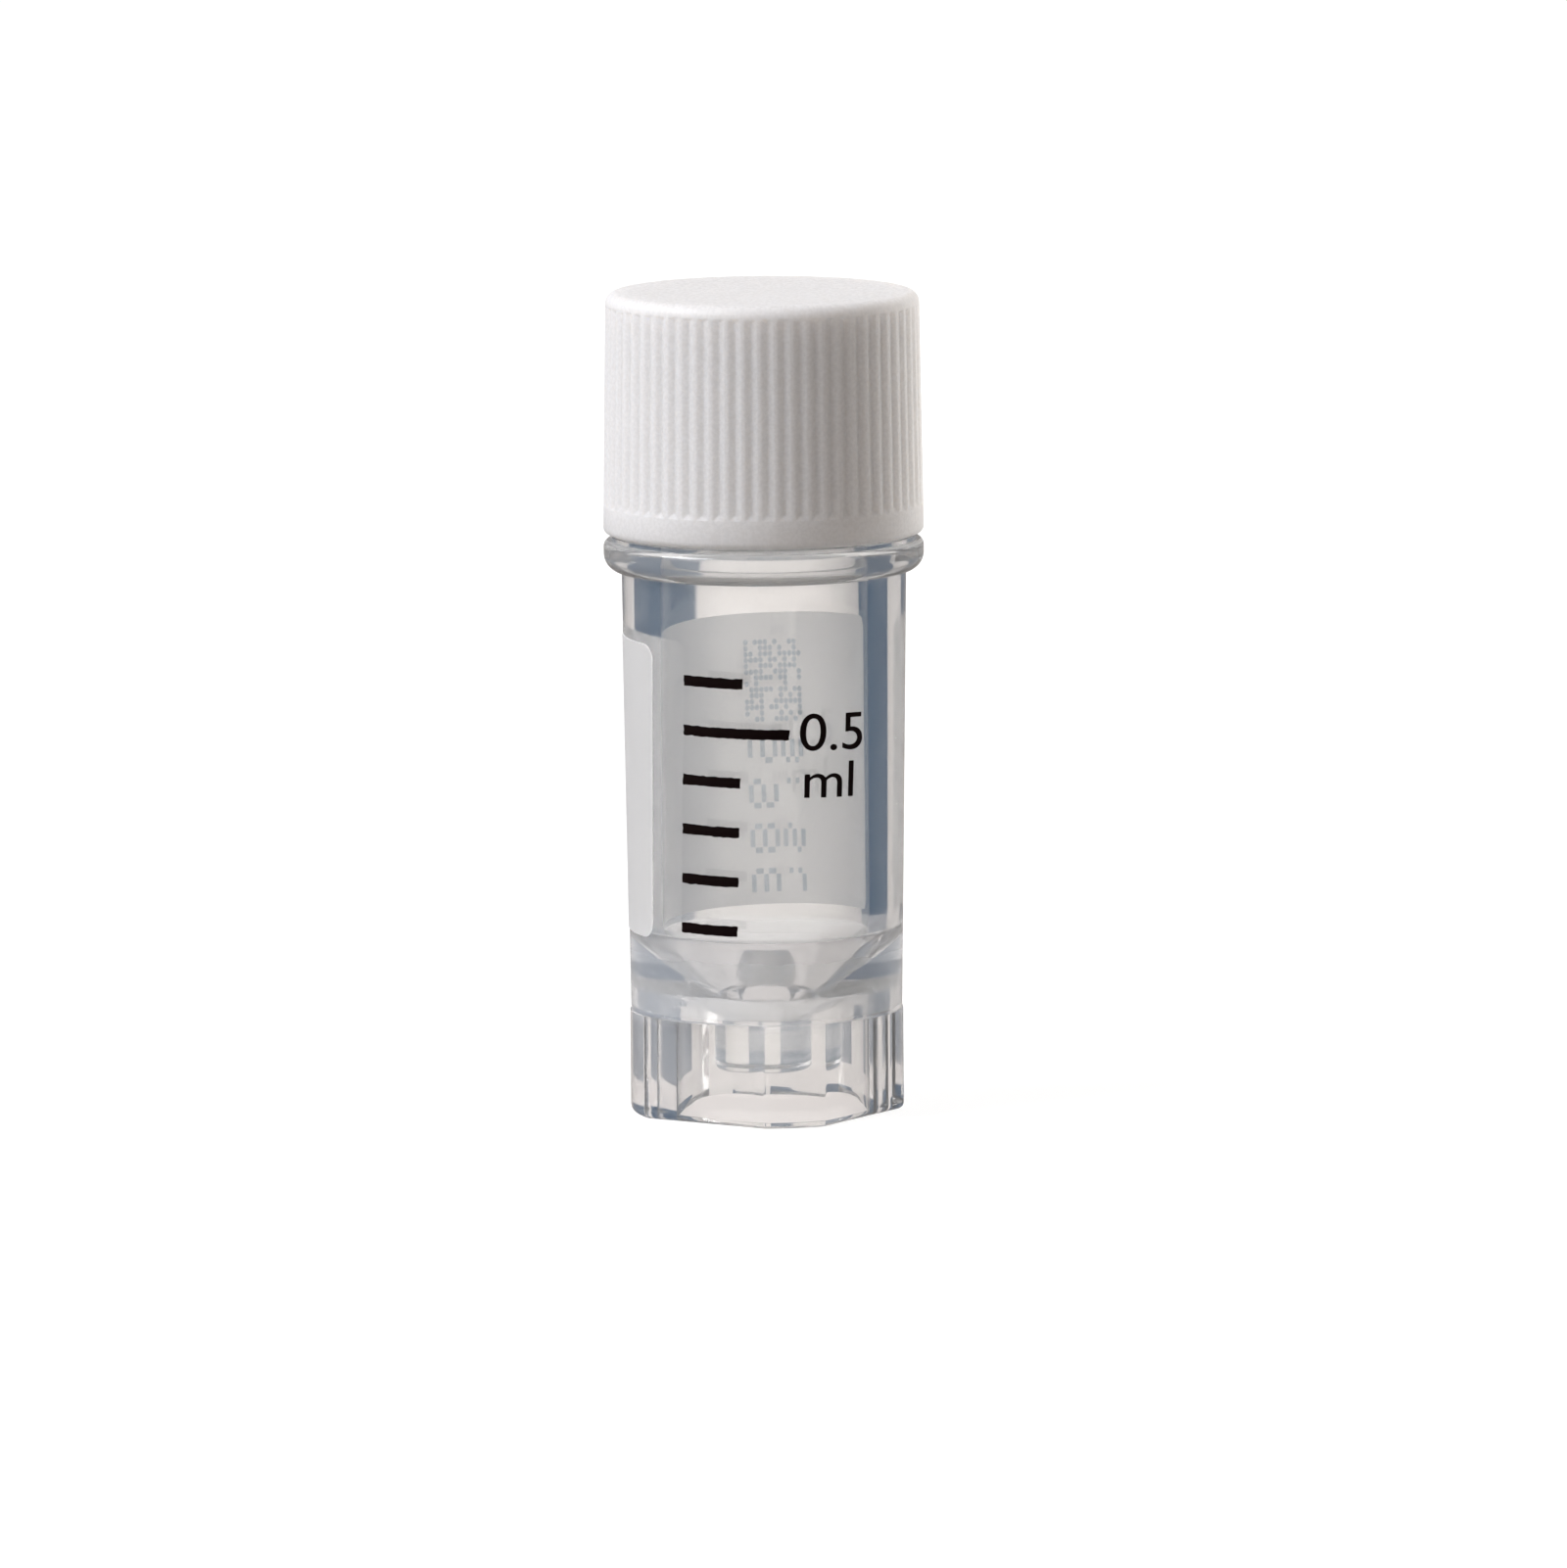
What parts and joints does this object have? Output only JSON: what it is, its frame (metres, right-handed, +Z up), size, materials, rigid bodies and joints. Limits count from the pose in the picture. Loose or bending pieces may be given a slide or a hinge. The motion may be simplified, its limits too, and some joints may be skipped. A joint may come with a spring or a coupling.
{
  "type": "cryovial",
  "caption": "Small self-standing cryogenic storage vial with a ribbed screw cap, conical bore, graduation marks and a skirted foot with flats.",
  "frame": {"origin": "on the vial's axis, at the level that the foot skirt stands on", "axes": "+Z up along the vial's axis towards the cap; -Y is the front with the graduation marks"},
  "size_m": [0.0126, 0.0126, 0.0322],
  "materials": {
    "clear_polypropylene": "translucent, slightly hazy moulded plastic",
    "white_cap_plastic": "satin, with a fine spark-eroded grain on top",
    "silicone": "soft matt",
    "white_ink": "matt screen print for handwriting",
    "black_ink": "matt screen print"
  },
  "bodies": {
    "vial": {"vial_body": "clear_polypropylene", "writing_panel": "white_ink", "graduation_marks": "black_ink"},
    "gasket": {"sealing_gasket": "silicone"},
    "cap": {"screw_cap": "white_cap_plastic"}
  },
  "joints": [
    {"name": "cap_lift", "type": "slide", "parent": "vial", "child": "gasket", "axis": [0, 0, 1], "range_m": [0, 0.012]},
    {"name": "cap_turn", "type": "hinge", "parent": "gasket", "child": "cap", "pos_m": [0, 0, 0.0228], "axis": [0, 0, 1], "range_deg": [0, 1080]}
  ],
  "couplings": [
    {"joint": "cap_turn", "follows": "cap_lift", "rad_per_m": 1570.8}
  ]
}
